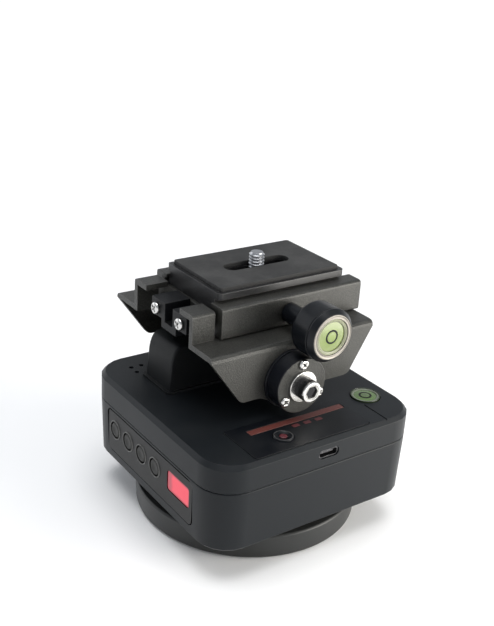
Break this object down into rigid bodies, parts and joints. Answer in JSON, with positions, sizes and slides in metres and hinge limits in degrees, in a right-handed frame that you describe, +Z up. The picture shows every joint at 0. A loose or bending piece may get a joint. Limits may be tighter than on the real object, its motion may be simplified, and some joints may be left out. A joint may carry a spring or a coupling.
{
  "type": "remote pan tilt head",
  "caption": "Motorised pan and tilt head: round base disc, square housing with buttons and window, tilting sheet cradle with a dovetail quick release clamp and knob.",
  "frame": {"origin": "on the pan axis, on the surface that the rubber ring under the base stands on", "axes": "+Z up along the pan axis; -Y the front with the buttons and the window; +X the side with the charging socket and the clamp knob; the tilt axis is parallel to X"},
  "size_m": [0.0986, 0.095, 0.102],
  "materials": {
    "base_black": "satin black anodised",
    "rubber": "matte",
    "brass": "machined",
    "gear_plastic": "natural",
    "steel": "machined",
    "housing_black": "fine matte",
    "panel_black": "satin",
    "window_red": "lit red",
    "label_black": "satin film",
    "bar_red": "dull red",
    "level_green": "clear over green liquid",
    "knob_level": "clear over yellow green liquid",
    "board_green": "solder resist",
    "cell_blue": "sleeve",
    "anodised_black": "sand blasted, black anodised",
    "nickel": "bright nickel"
  },
  "bodies": {
    "base": {"base_disc": "base_black", "rubber_ring": "rubber", "stand_bush": "brass", "pan_gear": "gear_plastic", "bearing_inner": "steel", "hub_nut": "steel"},
    "head": {"lower_shell": "housing_black", "upper_shell": "housing_black", "front_panel": "panel_black", "display_window": "window_red", "label_panel": "label_black", "light_bar": "bar_red", "level_vial": "level_green", "charge_socket": "steel", "main_board": "board_green", "button_board": "board_green", "cell_lower": "cell_blue", "cell_upper": "cell_blue", "bearing_outer": "steel", "pan_motor": "steel", "tilt_motor": "steel", "case_screw_1": "steel", "case_screw_2": "steel", "case_screw_3": "steel", "case_screw_4": "steel", "tilt_tower": "housing_black", "tilt_bush_left": "brass", "tilt_bush_right": "brass"},
    "button_1": {"button_1": "panel_black"},
    "button_2": {"button_2": "panel_black"},
    "button_3": {"button_3": "panel_black"},
    "button_4": {"button_4": "panel_black"},
    "power": {"power_button": "panel_black", "power_lens": "window_red"},
    "pan_pinion": {"pan_pinion": "brass"},
    "tilt_pinion": {"tilt_pinion": "brass"},
    "cradle": {"cradle": "anodised_black", "tilt_shaft": "steel", "shaft_clip": "steel", "tilt_gear": "brass", "tilt_drum": "anodised_black", "drum_screw_1": "nickel", "drum_screw_2": "nickel", "drum_screw_3": "nickel", "axle_washer": "nickel", "axle_screw": "nickel", "front_guide": "anodised_black", "stop_screw_1": "nickel", "stop_screw_2": "nickel", "clamp_body": "anodised_black", "clamp_screw_1": "steel", "clamp_screw_2": "steel"},
    "jaw": {"moving_jaw": "anodised_black"},
    "knob": {"clamp_knob": "anodised_black", "knob_screw": "steel", "knob_vial": "knob_level"},
    "plate": {"quick_plate": "anodised_black", "plate_pad": "rubber"},
    "carrier": {"screw_carrier": "steel"},
    "camera_screw": {"camera_screw": "steel"}
  },
  "joints": [
    {"name": "pan", "type": "hinge", "parent": "base", "child": "head", "pos_m": [0, 0, 0.0177], "axis": [0, 0, 1], "continuous": true},
    {"name": "pan_drive", "type": "hinge", "parent": "head", "child": "pan_pinion", "pos_m": [0, 0.026, 0.02325], "axis": [0, 0, 1], "continuous": true},
    {"name": "tilt", "type": "hinge", "parent": "head", "child": "cradle", "pos_m": [-0.014, 0.0013, 0.06375], "axis": [1, 0, 0], "range_deg": [-15, 15]},
    {"name": "tilt_drive", "type": "hinge", "parent": "head", "child": "tilt_pinion", "pos_m": [-0.0195, 0.0013, 0.04275], "axis": [1, 0, 0], "range_deg": [-30, 30]},
    {"name": "button_1_press", "type": "slide", "parent": "head", "child": "button_1", "axis": [0, 1, 0], "range_m": [0, 0.0005], "stiffness_N_per_m": 900, "springref_m": -0.001},
    {"name": "button_2_press", "type": "slide", "parent": "head", "child": "button_2", "axis": [0, 1, 0], "range_m": [0, 0.0005], "stiffness_N_per_m": 900, "springref_m": -0.001},
    {"name": "button_3_press", "type": "slide", "parent": "head", "child": "button_3", "axis": [0, 1, 0], "range_m": [0, 0.0005], "stiffness_N_per_m": 900, "springref_m": -0.001},
    {"name": "button_4_press", "type": "slide", "parent": "head", "child": "button_4", "axis": [0, 1, 0], "range_m": [0, 0.0005], "stiffness_N_per_m": 900, "springref_m": -0.001},
    {"name": "power_press", "type": "slide", "parent": "head", "child": "power", "axis": [0, 0, -1], "range_m": [0, 0.0003], "stiffness_N_per_m": 900, "springref_m": -0.001},
    {"name": "jaw_slide", "type": "slide", "parent": "cradle", "child": "jaw", "axis": [1, 0, 0], "range_m": [0, 0.003]},
    {"name": "knob_turn", "type": "hinge", "parent": "jaw", "child": "knob", "pos_m": [0.03, 0.008, 0.0851], "axis": [1, 0, 0], "range_deg": [0, 1543]},
    {"name": "plate_slide", "type": "slide", "parent": "cradle", "child": "plate", "axis": [0, 1, 0], "range_m": [-0.0012, 0.024]},
    {"name": "camera_screw_slide", "type": "slide", "parent": "plate", "child": "carrier", "axis": [0, 1, 0], "range_m": [-0.011, 0.011]},
    {"name": "camera_screw_turn", "type": "hinge", "parent": "carrier", "child": "camera_screw", "pos_m": [-0.0135, 0.0085, 0.095], "axis": [0, 0, 1], "continuous": true}
  ],
  "couplings": [
    {"joint": "pan_drive", "follows": "pan", "ratio": 3.3333},
    {"joint": "tilt_drive", "follows": "tilt", "ratio": -2},
    {"joint": "knob_turn", "follows": "jaw_slide", "rad_per_m": 8976}
  ]
}
